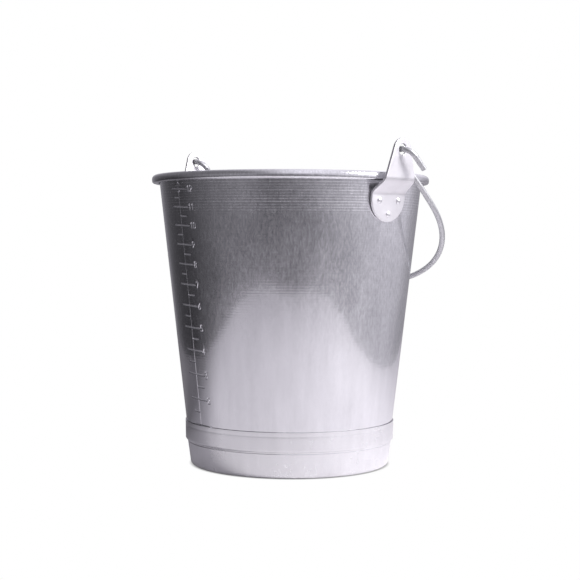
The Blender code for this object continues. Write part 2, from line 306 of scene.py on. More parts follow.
def tidy(mesh, crease):
    """Closes poles and seams, points the faces out and shades the mesh smooth up to a crease."""
    shape = bmesh.new()
    shape.from_mesh(mesh)
    bmesh.ops.remove_doubles(shape, verts=shape.verts, dist=MERGE)
    bmesh.ops.recalc_face_normals(shape, faces=shape.faces)
    shape.to_mesh(mesh)
    shape.free()
    mesh.shade_smooth()
    mesh.set_sharp_from_angle(angle=math.radians(crease))


# ---------------------------------------------------------------- litre scale


def litre_height(litres):
    """Height at which the cone holds this many litres above its floor."""
    inner_base = BASE_RADIUS - SHEET / math.cos(TILT)
    floor_radius = inner_base + TAPER * SCALE_ZERO
    radius = (floor_radius**3 + 3 * TAPER * litres * LITRE / math.pi) ** (1 / 3)
    return (radius - inner_base) / TAPER


def digit_strokes(digit):
    """One digit as lines in a box one wide and one high."""
    shapes = {
        "0": [[(0.2, 0), (0, 0.2), (0, 0.8), (0.2, 1), (0.8, 1), (1, 0.8), (1, 0.2), (0.8, 0), (0.2, 0)]],
        "1": [[(0.2, 0.75), (0.55, 1), (0.55, 0)]],
        "2": [[(0, 0.8), (0.2, 1), (0.8, 1), (1, 0.8), (1, 0.6), (0, 0), (1, 0)]],
        "3": [[(0, 1), (1, 1), (0.45, 0.6), (0.8, 0.55), (1, 0.35), (1, 0.2), (0.8, 0), (0.2, 0), (0, 0.2)]],
        "4": [[(0.75, 0), (0.75, 1), (0, 0.3), (1, 0.3)]],
        "5": [[(0.95, 1), (0.1, 1), (0, 0.55), (0.8, 0.6), (1, 0.4), (1, 0.2), (0.8, 0), (0, 0.05)]],
        "6": [[(0.8, 1), (0.1, 0.55), (0, 0.2), (0.2, 0), (0.8, 0), (1, 0.2), (1, 0.4), (0.8, 0.55),
               (0.1, 0.5)]],
        "7": [[(0, 1), (1, 1), (0.35, 0)]],
        "8": [[(0.2, 0.53), (0, 0.75), (0.2, 1), (0.8, 1), (1, 0.75), (0.8, 0.53), (0.2, 0.53),
               (0, 0.25), (0.2, 0), (0.8, 0), (1, 0.25), (0.8, 0.53)]],
        "9": [[(0.2, 0), (0.9, 0.45), (1, 0.8), (0.8, 1), (0.2, 1), (0, 0.8), (0, 0.6), (0.2, 0.45),
               (0.9, 0.5)]],
    }
    return shapes[digit]


def label_strokes(litres):
    """The number to the right of its tick, standing level beside its end."""
    strokes = []
    low = litre_height(litres) + LABEL_DROP - DIGIT_HEIGHT / 2
    for place, digit in enumerate(str(litres)):
        left = LABEL_START + place * DIGIT_PITCH
        for line in digit_strokes(digit):
            strokes.append([(left + x * DIGIT_WIDTH, low + y * DIGIT_HEIGHT) for x, y in line])
    return strokes


def chevron(half_width, ends, tip):
    """Two short lines that meet at a tip on the stem, near the last mark."""
    top = litre_height(LITRES)
    return [(-half_width, top + ends), (0, top + tip), (half_width, top + ends)]


def scale_strokes():
    """The scale's lines, as distance along the wall and height, each with its groove."""
    stem = [(0, RING_TOP - STEM_FOOT), (0, litre_height(LITRES) + STEM_TOP)]
    strokes = [chevron(*UPPER_CHEVRON), chevron(*LOWER_CHEVRON)]
    numbers = []
    for litres in range(1, LITRES + 1):
        height = litre_height(litres)
        strokes.append([(-TICK_REACH, height), (TICK_REACH, height)])
        if litres >= FIRST_LABEL:
            numbers += label_strokes(litres)
            half = litre_height(litres - 0.5)
            side = -1 if litres % 2 == 0 else 1
            strokes.append([(0, half), (side * HALF_TICK, half)])
    slanted = [[(x, z + TICK_SLANT * x) for x, z in stroke] for stroke in strokes]
    return ([(stem, STEM_GROOVE)] + [(stroke, TICK_GROOVE) for stroke in slanted]
            + [(stroke, DIGIT_GROOVE) for stroke in numbers])


def groove(along, height, stroke, half_width, depth):
    """Depth of the pressed line at points given by distance along the wall and height."""
    nearest = np.full(along.shape, np.inf)
    for (x0, z0), (x1, z1) in zip(stroke, stroke[1:]):
        run = np.array([x1 - x0, z1 - z0])
        share = ((along - x0) * run[0] + (height - z0) * run[1]) / (run @ run)
        share = np.clip(share, 0, 1)
        nearest = np.minimum(nearest, np.hypot(along - x0 - share * run[0], height - z0 - share * run[1]))
    flank = np.clip(1 - nearest / half_width, 0, 1)
    return depth * flank * flank * (3 - 2 * flank)


def scale_relief(rings, turns):
    """How far the pressed scale sinks the outer face of the wall."""
    depth = np.zeros((len(rings), len(turns)))
    height = np.repeat(rings[:, 1:], len(turns), axis=1)
    turned = (turns[None, :] - SCALE_ANGLE + math.pi) % math.tau - math.pi
    along = turned * rings[:, :1]
    outer = rings[:, 0] > BASE_RADIUS + TAPER * rings[:, 1] - SHEET / 4
    on_wall = outer & (rings[:, 1] > SCALE_BOTTOM) & (rings[:, 1] < RIM_HEIGHT - CURL_DIAMETER / 2)
    for stroke, (half_width, deepest) in scale_strokes():
        low = min(p[1] for p in stroke) - half_width
        high = max(p[1] for p in stroke) + half_width
        rows = np.flatnonzero(on_wall & (rings[:, 1] > low) & (rings[:, 1] < high))
        depth[rows] = np.maximum(depth[rows], groove(along[rows], height[rows], stroke, half_width, deepest))
    return -depth


def scale_angles():
    """Angles of the wall's columns: close together at the stem and under the numbers."""
    reach = LABEL_START + 2 * DIGIT_PITCH
    wide = wall_outside(litre_height(LITRES))
    narrow = wall_outside(litre_height(1))
    label = LABEL_START * narrow / wide
    steps = [(-TICK_MARGIN * TICK_REACH, -STEM_SIDE, TICK_STEP), (-STEM_SIDE, STEM_SIDE, STEM_STEP),
             (STEM_SIDE, label, TICK_STEP), (label, reach, FINE_STEP)]
    angles = []
    for start, end, step in steps:
        count = round((end - start) / step)
        angles += [SCALE_ANGLE + (start + (end - start) * i / count) / narrow for i in range(count)]
    last = SCALE_ANGLE + reach / narrow
    rest = math.tau - (last - angles[0])
    count = round(rest / WALL_STEP)
    return angles + [last + rest * i / count for i in range(count)]


def wall_heights(fine):
    """Heights of the wall's rows, with close rows wherever the scale is pressed in."""
    low = FLOOR_HEIGHT + FLOOR_CORNER + 1 * MM
    high = RIM_HEIGHT - CURL_DIAMETER / 2 - 0.5 * MM
    rows = set(np.linspace(low, high, WALL_ROWS))
    if fine:
        for halves in range(2, 2 * LITRES + 1):
            middle = litre_height(halves / 2)
            below, above = MARK_ROWS if halves % 2 == 0 else HALF_MARK_ROWS
            top = min(middle + (LAST_MARK_RISE if halves == 2 * LITRES else above), high - 0.1 * MM)
            rows |= set(np.arange(middle - below, top, FINE_STEP))
    rows = sorted(rows)
    return [rows[0]] + [b for a, b in zip(rows, rows[1:]) if b - a > CLOSEST_ROWS]


# ---------------------------------------------------------------- pieces


def vessel_path(fine):
    """Middle of the vessel's sheet from the centre of the floor to the end of the curl."""
    middle_base = BASE_RADIUS - SHEET / 2 / math.cos(TILT)
    floor = FLOOR_HEIGHT - SHEET / 2
    corner_height = floor + FLOOR_CORNER
    corner_radius = middle_base + TAPER * corner_height - FLOOR_CORNER / math.cos(TILT)
    curl = (CURL_DIAMETER - SHEET) / 2
    curl_radius = middle_base + TAPER * RIM_HEIGHT + curl / math.cos(TILT)
    path = [(0, floor), (corner_radius * 0.5, floor)]
    path += arc((corner_radius, corner_height), FLOOR_CORNER, -math.pi / 2, -TILT, 12)
    path += [(middle_base + TAPER * z, z) for z in wall_heights(fine)]
    path += [squared_off(p, (curl_radius, RIM_HEIGHT), curl)
             for p in arc((curl_radius, RIM_HEIGHT), curl, math.pi - TILT, CURL_END, 60)]
    return path


def squared_off(point, centre, radius):
    """Pushes the curl's lower outer quarter out towards a rounded corner."""
    across, rise = (point[0] - centre[0]) / radius, (point[1] - centre[1]) / radius
    if across <= 0 or rise >= 0:
        return point
    return (centre[0] + radius * across**CURL_CORNER, centre[1] - radius * (-rise) ** CURL_CORNER)


def build_vessel(material):
    """Wall, floor and curl in one mesh, with the scale pressed into its outer face."""
    outer = offset_path(vessel_path(True), -SHEET / 2)
    inner = offset_path(vessel_path(False), SHEET / 2)
    mesh = turned_mesh("vessel", outer + inner[::-1], scale_angles(), scale_relief, crease=60)
    return link_mesh("vessel", mesh, material, "pail", ["pail_body"])


def ring_path():
    """Middle of the foot ring's sheet, from the flange's inner edge to the band's upper edge."""
    middle = RING_SHEET / 2
    heel = (RING_HEEL_RADIUS - RING_CORNER, RING_CORNER)
    path = [(FLANGE_INNER_RADIUS, middle)]
    path += arc(heel, RING_CORNER - middle, -math.pi / 2, HEEL_TURN, 10)
    slope = (RING_STEP_RADIUS - RING_HEEL_RADIUS) / (RING_STEP_BOTTOM - RING_CORNER)
    for height in np.linspace(RING_CORNER + 2 * MM, RING_STEP_BOTTOM, 60):
        radius = RING_HEEL_RADIUS + slope * (height - RING_CORNER) - middle
        path.append((radius - rolled(height, RING_STEP_BOTTOM, *STEP_GROOVE), height))
    path += step_curve(middle)
    for height in np.linspace(RING_BAND_BOTTOM + 1.2 * MM, RING_TOP, 26):
        lean = RING_LEAN * (height - RING_BAND_BOTTOM)
        radius = RING_BAND_RADIUS - middle + lean
        path.append((radius - rolled(height, RING_TOP, *BAND_GROOVE), height))
    return path


def rolled(height, edge, below, half_width, depth):
    """Depth of a shallow rolled groove whose middle lies below an edge."""
    return depth * math.exp(-(((height - (edge - below)) / half_width) ** 2) * 2)


def step_curve(middle):
    """The soft step from the tapered band out to the upright one."""
    rise = RING_BAND_BOTTOM - RING_STEP_BOTTOM
    out = RING_BAND_RADIUS - RING_STEP_RADIUS
    points = []
    for i in range(1, 9):
        share = i / 8
        swing = share * share * (3 - 2 * share)
        points.append((RING_STEP_RADIUS - middle + out * swing, RING_STEP_BOTTOM + rise * share))
    return points


def ring_spring(rings, turns):
    """The band's upper edge stands off the wall a little on one side of its tack."""
    lift = np.clip((rings[:, 1:] - RING_BAND_BOTTOM) / (RING_TOP - RING_BAND_BOTTOM), 0, 1) ** 2
    away = (turns[None, :] - TACK_ANGLE + math.pi) % math.tau - math.pi
    left = np.exp(-(((away + SPRING_MIDDLE) / SPRING_WIDTH) ** 2)) * (away < 0)
    slow = 0.5 + 0.5 * np.sin(3 * turns[None, :] + 0.6)
    return lift * (SPRING_LIFT * left + BAND_WAVE * slow)


def build_foot_ring(material):
    """The ring as one closed sheet."""
    path = ring_path()
    outline = offset_path(path, RING_SHEET / 2) + offset_path(path, -RING_SHEET / 2)[::-1]
    mesh = turned_mesh("ring", outline, even_angles(320), ring_spring, closed=True, crease=50)
    return link_mesh("ring", mesh, material, "pail", ["foot_ring"])


def build_tack(name, angle, material):
    """A small weld spot that holds the band's upper edge to the wall."""
    shape = bmesh.new()
    bmesh.ops.create_icosphere(shape, subdivisions=4, radius=1)
    for vert in shape.verts:
        lump = 1 + TACK_LUMPS * noise.noise(vert.co * 1.7 + Vector((angle, 0, 0)))
        vert.co = Vector([c * s * lump for c, s in zip(vert.co, Vector(TACK_SIZE))])
    mesh = bpy.data.meshes.new(name)
    shape.to_mesh(mesh)
    shape.free()
    mesh.transform(Matrix.Rotation(angle, 4, "Z") @ Matrix.Translation(
        (wall_outside(RING_TOP) + TACK_PLACE[0], 0, RING_TOP - TACK_PLACE[1])))
    mesh.shade_smooth()
    return link_mesh(name, mesh, material, "pail")


# ---------------------------------------------------------------- ears


def ear_middle(height):
    """Distance from the axis to the middle of the ear's plate, before its bends are rounded."""
    if height <= LOWER_BEND:
        return wall_outside(height) + GAP + EAR_SHEET / 2
    if height >= UPPER_BEND:
        return EAR_OUTER_FACE - EAR_SHEET / 2 - math.tan(EAR_LEAN) * (HINGE_HEIGHT - height)
    low = ear_middle(LOWER_BEND)
    high = ear_middle(UPPER_BEND)
    return low + (high - low) * (height - LOWER_BEND) / (UPPER_BEND - LOWER_BEND)


def ear_reach(height):
    """The same distance with each bend rounded over the bend radius."""
    near = [ear_middle(height + BEND_RADIUS * step / 12) for step in range(-12, 13)]
    return sum(near) / len(near)


def ear_point(across, height):
    """A point of the ear's middle surface, rounded with the wall low down and flat above."""
    reach = ear_reach(height)
    share = (height - LOWER_BEND) / (UPPER_BEND - LOWER_BEND)
    wrap = TONGUE_WRAP * (1 - min(max(share, 0), 1))
    turn = across / reach
    x = reach - wrap * reach * (1 - math.cos(turn))
    y = across + wrap * (reach * math.sin(turn) - across)
    return Vector((x, y, height))


def bent(flat):
    """The place of a point of the flat blank once the blank is pressed to shape."""
    step = 0.05 * MM
    across, height, depth = flat
    here = ear_point(across, height)
    sideways = ear_point(across + step, height) - ear_point(across - step, height)
    upward = ear_point(across, height + step) - ear_point(across, height - step)
    return here + sideways.cross(upward).normalized() * depth


def ear_outline():
    """The blank's outline, as distance across the ear and height."""
    flank = math.asin((NECK_HALF_WIDTH - EAR_HEAD_RADIUS) / (EAR_HEAD_CENTRE - UPPER_BEND))
    right = [(TONGUE_HALF_WIDTH, LOWER_BEND - SHOULDER_BELOW),
             (TONGUE_HALF_WIDTH - SHOULDER_INSET, LOWER_BEND + SHOULDER_ABOVE),
             (NECK_HALF_WIDTH, UPPER_BEND)]
    left = [(-across, height) for across, height in reversed(right)]
    tongue = arc((0, TONGUE_CENTRE), TONGUE_HALF_WIDTH, math.pi, math.tau, 48)
    head = arc((0, EAR_HEAD_CENTRE), EAR_HEAD_RADIUS, flank, math.pi - flank, 40)
    return tongue + right + head + left


def add_loop(curve, points):
    """Adds a closed outline to a flat curve."""
    spline = curve.splines.new("POLY")
    spline.points.add(len(points) - 1)
    spline.use_cyclic_u = True
    for spot, (x, y) in zip(spline.points, points):
        spot.co = (x, y, 0, 1)


def ear_blank():
    """The flat ear with its hole and rounded edges, as a mesh."""
    curve = bpy.data.curves.new("ear_blank", "CURVE")
    curve.dimensions = "2D"
    curve.fill_mode = "BOTH"
    curve.bevel_depth = EAR_EDGE
    curve.bevel_resolution = 3
    curve.offset = -EAR_EDGE
    curve.extrude = EAR_SHEET / 2 - EAR_EDGE
    add_loop(curve, ear_outline())
    add_loop(curve, arc((0, HINGE_HEIGHT), EAR_HOLE_RADIUS, 0, math.tau, 48)[:-1])
    holder = bpy.data.objects.new("ear_blank", curve)
    bpy.context.scene.collection.objects.link(holder)
    bpy.context.view_layer.update()
    seen = holder.evaluated_get(bpy.context.evaluated_depsgraph_get())
    mesh = bpy.data.meshes.new_from_object(seen)
    bpy.data.objects.remove(holder)
    bpy.data.curves.remove(curve)
    return mesh


def ear_mesh():
    """The blank, sliced finely where it bends and pressed to shape."""
    mesh = ear_blank()
    shape = bmesh.new()
    shape.from_mesh(mesh)
    bmesh.ops.remove_doubles(shape, verts=shape.verts, dist=EAR_MERGE)
    strips = [np.arange(bend - BEND_BAND, bend + BEND_BAND, BEND_SLICE) for bend in (LOWER_BEND, UPPER_BEND)]
    for height in sorted(np.concatenate(strips)):
        slice_at(shape, (0, height, 0), (0, 1, 0))
    for across in np.arange(-TONGUE_HALF_WIDTH + COLUMN_SLICE, TONGUE_HALF_WIDTH, COLUMN_SLICE):
        slice_at(shape, (across, 0, 0), (1, 0, 0))
    for vert in shape.verts:
        vert.co = bent(vert.co)
    shape.to_mesh(mesh)
    shape.free()
    tidy(mesh, crease=45)
    return mesh


def slice_at(shape, point, normal):
    """Cuts every face that a plane crosses, and keeps both sides."""
    everything = shape.verts[:] + shape.edges[:] + shape.faces[:]
    bmesh.ops.bisect_plane(shape, geom=everything, plane_co=point, plane_no=normal, dist=EAR_MERGE)


def build_ear(label, turn, mesh, material):
    """One ear, turned to its side of the pail."""
    own = mesh.copy()
    own.transform(Matrix.Rotation(turn, 4, "Z"))
    return link_mesh(f"ear_plate_{label}", own, material, "pail", [f"ear_{label}"])


# ---------------------------------------------------------------- rivets


def tongue_lift(angle):
    """How far the flatter tongue stands off the round wall at an angle from its middle."""
    return (1 - TONGUE_WRAP) * (1 - math.cos(angle)) * wall_outside(UPPER_RIVETS)


def rivet_places():
    """Angle along the wall and height of the three rivets of one ear."""
    half = RIVET_SPACING / 2 / wall_outside(UPPER_RIVETS)
    return [(half, UPPER_RIVETS), (-half, UPPER_RIVETS), (0, LOWER_RIVET)]


def rivet_frame(turn, spot):
    """Axes at the outer face of an ear's tongue, with local Z along the wall's normal."""
    angle, height = spot
    reach = wall_outside(height) + GAP + EAR_SHEET + tongue_lift(angle)
    lean = Matrix.Rotation(math.pi / 2 + TILT, 4, "Y")
    return Matrix.Rotation(angle + turn, 4, "Z") @ Matrix.Translation((reach, 0, height)) @ lean


def rivet_mesh(lift):
    """Head, shank and tail in one outline, with the ear's outer face at local Z = 0."""
    bottom = -(EAR_SHEET + GAP + lift + SHEET) - GAP
    dome = (RIVET_HEAD_RADIUS**2 + RIVET_HEAD_HEIGHT**2) / 2 / RIVET_HEAD_HEIGHT
    half_turn = math.asin(RIVET_HEAD_RADIUS / dome) * RIVET_DOME
    centre = (0, RIVET_SEAT + RIVET_HEAD_HEIGHT - dome)
    outline = arc(centre, dome, math.pi / 2, math.pi / 2 - half_turn, 14)
    outline[0] = (0, outline[0][1])
    outline += [(RIVET_HEAD_RADIUS, RIVET_SEAT + RIVET_RIM), (RIVET_HEAD_RADIUS, RIVET_SEAT)]
    outline += [(RIVET_SHANK_RADIUS, RIVET_SEAT), (RIVET_SHANK_RADIUS, bottom), (RIVET_TAIL_RADIUS, bottom)]
    rounding = RIVET_TAIL_HEIGHT * RIVET_TAIL_ROUND
    end = bottom - RIVET_TAIL_HEIGHT
    outline += arc((RIVET_TAIL_RADIUS - rounding, end + rounding), rounding, 0, -math.pi / 2, 6)
    outline += [(0, end)]
    return turned_mesh("rivet_head", outline, even_angles(36), crease=50)


def build_rivets(label, turn, material):
    """The three rivets of one ear."""
    for number, spot in enumerate(rivet_places(), 1):
        mesh = rivet_mesh(tongue_lift(spot[0]))
        mesh.transform(rivet_frame(turn, spot))
        node = f"rivet_{label}_{number}"
        link_mesh(f"{node}_head", mesh, material, "pail", [node])


# ---------------------------------------------------------------- bail


def bail_half():
    """Half of the bail in its own plane, from the hook's free end to just before the grip's middle."""
    hook = (HOOK_INNER_RUN + HOOK_RADIUS, HOOK_CENTRE)
    end = (hook[0] + HOOK_RADIUS + HOOK_SPLAY, HOOK_END)
    start = (hook[0] + HOOK_RADIUS, HOOK_CENTRE)
    points = [tuple(np.array(end) + (np.array(start) - end) * i / 8) for i in range(8)]
    points += arc(hook, HOOK_RADIUS, 0, -math.pi, 36)
    neck = (HOOK_NECK_RUN, HOOK_NECK)
    points += [tuple(np.array(points[-1]) + (np.array(neck) - points[-1]) * i / 6) for i in range(1, 6)]
    spring = BAIL_HALF_WIDTH - HOOK_NECK_RUN
    for step in range(12):
        share = step / 12
        run = HOOK_NECK_RUN + spring * share * (2 - share)
        points.append((run, HOOK_NECK + (BAIL_STRAIGHT - HOOK_NECK) * share))
    bow = BAIL_REACH - BAIL_STRAIGHT
    for step in range(60):
        turn = math.pi / 2 * step / 60
        points.append((BAIL_HALF_WIDTH * math.cos(turn), BAIL_STRAIGHT + bow * math.sin(turn)))
    return points


def bail_drop():
    """How far below level the bail hangs when the middle of its grip meets the wall."""
    wall = wall_outside(HINGE_HEIGHT) + BAIL_WIRE / 2 + GAP
    return TILT + math.acos(wall * math.cos(TILT) / BAIL_REACH)


def wire_rings(route, radius):
    """Centres, sideways directions, radii and running lengths of a wire with chamfered ends."""
    path = np.array(route)
    run = np.gradient(path, axis=0)
    run /= np.linalg.norm(run, axis=1)[:, None]
    side = np.stack([run[:, 1], -run[:, 0]], axis=1)
    lengths = np.r_[0, np.cumsum(np.linalg.norm(np.diff(path, axis=0), axis=1))]
    path = np.vstack([path[0], path[0] + run[0] * WIRE_CHAMFER, path[1:-1],
                      path[-1] - run[-1] * WIRE_CHAMFER, path[-1]])
    side = np.vstack([side[0], side[0], side[1:-1], side[-1], side[-1]])
    radii = np.full(len(path), radius)
    radii[[0, -1]] = radius - WIRE_CHAMFER
    lengths = np.r_[0, WIRE_CHAMFER, lengths[1:-1], lengths[-1] - WIRE_CHAMFER, lengths[-1]]
    return path, side, radii, lengths


def wire_mesh(name, route, radius):
    """A round wire along a flat route, which keeps where on the wire each corner lies."""
    path, side, radii, lengths = wire_rings(route, radius)
    turns = np.array(even_angles(WIRE_SIDES))
    flat = path[:, None, :] + side[:, None, :] * (radii[:, None] * np.cos(turns))[..., None]
    rise = radii[:, None] * np.sin(turns)
    points = np.concatenate([flat, rise[..., None]], axis=-1).reshape(-1, 3)
    faces = [tuple(range(WIRE_SIDES))[::-1], tuple(range(len(points) - WIRE_SIDES, len(points)))]
    for ring in range(len(path) - 1):
        faces += quads_between(ring, ring + 1, WIRE_SIDES)
    mesh = bpy.data.meshes.new(name)
    mesh.from_pydata(points.tolist(), [], faces)
    store(mesh, "run", np.repeat(lengths, WIRE_SIDES))
    store(mesh, "across_wire", np.tile(np.cos(turns), len(path)))
    store(mesh, "over_wire", np.tile(np.sin(turns), len(path)))
    return mesh


def store(mesh, name, values):
    """Keeps one number per vertex, which the metals read."""
    attribute = mesh.attributes.new(name, "FLOAT", "POINT")
    attribute.data.foreach_set("value", np.asarray(values, np.float32))


def build_bail(material):
    """The whole wire, hung where it meets the wall."""
    right = bail_half()
    left = [(-u, v) for u, v in reversed(right)]
    mesh = wire_mesh("bail_wire", right + [(0, BAIL_REACH)] + left, BAIL_WIRE / 2)
    mesh.transform(Matrix.Translation((0, 0, HINGE_HEIGHT)) @ Matrix.Rotation(-bail_drop(), 4, "X"))
    tidy(mesh, crease=35)
    return link_mesh("bail_wire", mesh, material, "bail", ["bail"])


# ---------------------------------------------------------------- materials


class Nodes:
    """Short calls for building one node tree."""

    def __init__(self, tree):
        self.tree = tree

    def add(self, kind, inputs=None, **settings):
        """A new node with its settings, and a value or another node's socket in each input."""
        node = self.tree.nodes.new(kind)
        for key, value in settings.items():
            setattr(node, key, value)
        for key, value in (inputs or {}).items():
            self.put(node.inputs[key], value)
        return node

    def put(self, socket, value):
        if isinstance(value, bpy.types.NodeSocket):
            self.tree.links.new(value, socket)
        else:
            socket.default_value = value

    def math(self, operation, a, b=0.0):
        return self.add("ShaderNodeMath", {0: a, 1: b}, operation=operation).outputs[0]

    def weighted(self, *terms):
        """The sum of each value times its weight."""
        parts = [self.math("MULTIPLY", value, weight) for value, weight in terms]
        total = parts[0]
        for part in parts[1:]:
            total = self.math("ADD", total, part)
        return total

    def remap(self, value, low, high, to_low=0.0, to_high=1.0):
        """A value's place between low and high, clamped, as a number between two others."""
        inputs = {"Value": value, "From Min": low, "From Max": high, "To Min": to_low, "To Max": to_high}
        return self.add("ShaderNodeMapRange", inputs).outputs[0]

    def noise(self, vector, scale, detail=2.0, roughness=0.5):
        inputs = {"Vector": vector, "Scale": scale, "Detail": detail, "Roughness": roughness}
        return self.add("ShaderNodeTexNoise", inputs).outputs[0]

    def stretched(self, vector, scale):
        return self.add("ShaderNodeMapping", {"Vector": vector, "Scale": scale}).outputs[0]

    def ramp(self, factor, dark, light):
        """A colour between two."""
        node = self.add("ShaderNodeValToRGB", {"Fac": factor})
        node.color_ramp.elements[0].color = (*dark, 1)
        node.color_ramp.elements[1].color = (*light, 1)
        return node.outputs[0]

    def levels(self, factor, stops):
        """A grey level that runs through the stops."""
        node = self.add("ShaderNodeValToRGB", {"Fac": factor})
        ramp = node.color_ramp.elements
        while len(ramp) < len(stops):
            ramp.new(0.5)
        for element, (position, level) in zip(ramp, stops):
            element.position = position
            element.color = (level, level, level, 1)
        return self.add("ShaderNodeRGBToBW", {0: node.outputs[0]}).outputs[0]

    def mix(self, factor, a, b):
        return self.add("ShaderNodeMix", {0: factor, 2: a, 3: b}).outputs[0]

    def bump(self, height, distance, normal=None):
        """Relief as deep as the distance where the height runs from 0 to 1, over another relief."""
        inputs = {"Height": height, "Distance": distance, "Strength": 1.0}
        if normal is not None:
            inputs["Normal"] = normal
        return self.add("ShaderNodeBump", inputs).outputs[0]


def new_metal(name):
    """An empty metal: its node builder, its shader and the object's own coordinates."""
    material = bpy.data.materials.new(name)
    material.use_nodes = True
    nodes = Nodes(material.node_tree)
    shader = material.node_tree.nodes["Principled BSDF"]
    shader.inputs["Metallic"].default_value = 1.0
    place = nodes.add("ShaderNodeTexCoord").outputs["Object"]
    return material, nodes, shader, place


def run_outward(nodes, place):
    """Radius plus height: it grows steadily from the middle of the floor to the rim."""
    split = nodes.add("ShaderNodeSeparateXYZ", {0: place}).outputs
    squares = nodes.math("ADD", nodes.math("MULTIPLY", split[0], split[0]),
                         nodes.math("MULTIPLY", split[1], split[1]))
    radius = nodes.math("SQRT", squares)
    return nodes.math("ADD", radius, split[2]), split[2]


def spun_metal(name, dark, light, roughness, lines_from):
    """Spun aluminium: turning lines around the axis, an upright brushed grain, soft blotches and a painted
    highlight on the pressed scale.
    """
    material, nodes, shader, place = new_metal(name)
    run, height = run_outward(nodes, place)
    grain = nodes.noise(nodes.stretched(place, (1, 1, 0.34)), scale=520, detail=3, roughness=0.65)
    bands = nodes.noise(nodes.stretched(place, (1, 1, 0.08)), scale=110)
    blotch = nodes.noise(nodes.stretched(place, (1, 1, 0.6)), scale=32, detail=3, roughness=0.55)
    pressed = nodes.add("ShaderNodeAttribute", attribute_name="relief").outputs["Fac"]
    pressed = nodes.remap(pressed, 0, -TICK_GROOVE[1])
    lines = turning_lines(nodes, place, run, height, lines_from)
    brushed = nodes.remap(height, *BRUSHED_FROM)
    tone = nodes.math("MULTIPLY", nodes.remap(grain, 0.25, 0.75, -0.40, 0.40), brushed)
    tone = nodes.math("ADD", tone, nodes.remap(bands, 0.25, 0.75, -0.12, 0.12))
    tone = nodes.math("ADD", tone, nodes.remap(blotch, 0.25, 0.75, 0.38, 0.62))
    tone = nodes.math("ADD", tone, nodes.math("MULTIPLY", lines, 0.5))
    # Painted highlight: the pressed scale is made lighter in colour for the light that its grooves catch.
    tone = nodes.math("ADD", tone, nodes.math("MULTIPLY", pressed, 0.6))
    nodes.put(shader.inputs["Base Color"], nodes.ramp(tone, dark, light))
    rough = nodes.weighted((grain, 0.16), (blotch, 0.14), (pressed, 0.12), (lines, 0.10))
    nodes.put(shader.inputs["Roughness"], nodes.math("ADD", rough, roughness - 0.15))
    normal = nodes.bump(lines, 0.036 * MM)
    normal = nodes.bump(nodes.math("MULTIPLY", grain, brushed), 0.006 * MM, normal)
    normal = nodes.bump(blotch, 0.09 * MM, normal)
    nodes.put(shader.inputs["Normal"], normal)
    brush_around(nodes, shader)
    add_polish(material, nodes, shader, *SPUN_POLISH)
    return material


def turning_lines(nodes, place, run, height, lines_from):
    """The tool's lines: evenly spaced clear ones near the mouth and faint ones elsewhere."""
    wander = nodes.math("MULTIPLY", nodes.noise(place, scale=9, detail=1), 0.5 * MM)
    along_run = nodes.math("ADD", run, wander)
    path = nodes.add("ShaderNodeCombineXYZ", {2: along_run}).outputs[0]
    fine = nodes.noise(path, scale=1100, roughness=0.6)
    wave = nodes.math("SINE", nodes.math("MULTIPLY", along_run, math.tau / LINE_PITCH))
    uneven = nodes.remap(nodes.noise(path, scale=420, detail=1, roughness=0.4), 0.35, 0.65, 0.4, 1)
    coarse = nodes.math("MULTIPLY", nodes.remap(wave, 0.2, 1), uneven)
    depth = nodes.math("MULTIPLY", coarse, nodes.remap(height, lines_from, lines_from + 5 * MM, 0.14, 1))
    patchy = nodes.remap(nodes.noise(place, scale=16), 0.3, 0.6, 0.6, 1)
    return nodes.weighted((depth, patchy), (fine, 0.22))


def brush_around(nodes, shader):
    """Lines that run around the axis spread the light up and down."""
    shader.inputs["Anisotropic"].default_value = 0.45
    shader.inputs["Anisotropic Rotation"].default_value = 0.25
    tangent = nodes.add("ShaderNodeTangent", direction_type="RADIAL", axis="Z")
    nodes.put(shader.inputs["Tangent"], tangent.outputs[0])


def add_polish(material, nodes, shader, share, roughness):
    """Mixes in a share of smoother metal, as on the tops of the lines."""
    smooth = nodes.add("ShaderNodeBsdfPrincipled", {"Metallic": 1.0, "Roughness": roughness})
    for name in ("Base Color", "Normal"):
        nodes.put(smooth.inputs[name], shader.inputs[name].links[0].from_socket)
    both = nodes.add("ShaderNodeMixShader", {0: share, 1: shader.outputs[0], 2: smooth.outputs[0]})
    nodes.put(material.node_tree.nodes["Material Output"].inputs["Surface"], both.outputs[0])


def pressed_metal(name, dark, light, roughness):
    """Pressed sheet: nearly matte, with a fine pebble grain and faint rubbed patches."""
    material, nodes, shader, place = new_metal(name)
    grain = nodes.noise(place, scale=900, detail=3, roughness=0.6)
    patch = nodes.noise(place, scale=60, detail=3)
    worn = nodes.add("ShaderNodeNewGeometry").outputs["Pointiness"]
    edge = nodes.remap(worn, 0.505, 0.56)
    tone = nodes.weighted((grain, 0.4), (patch, 0.6))
    tone = nodes.math("ADD", nodes.remap(tone, 0.3, 0.7), nodes.math("MULTIPLY", edge, 0.3))
    nodes.put(shader.inputs["Base Color"], nodes.ramp(tone, dark, light))
    rough = nodes.math("ADD", nodes.weighted((grain, 0.16), (patch, 0.10)), roughness - 0.13)
    nodes.put(shader.inputs["Roughness"], nodes.math("SUBTRACT", rough, nodes.math("MULTIPLY", edge, 0.12)))
    nodes.put(shader.inputs["Normal"], nodes.bump(grain, 0.006 * MM, nodes.bump(patch, 0.05 * MM)))
    return material


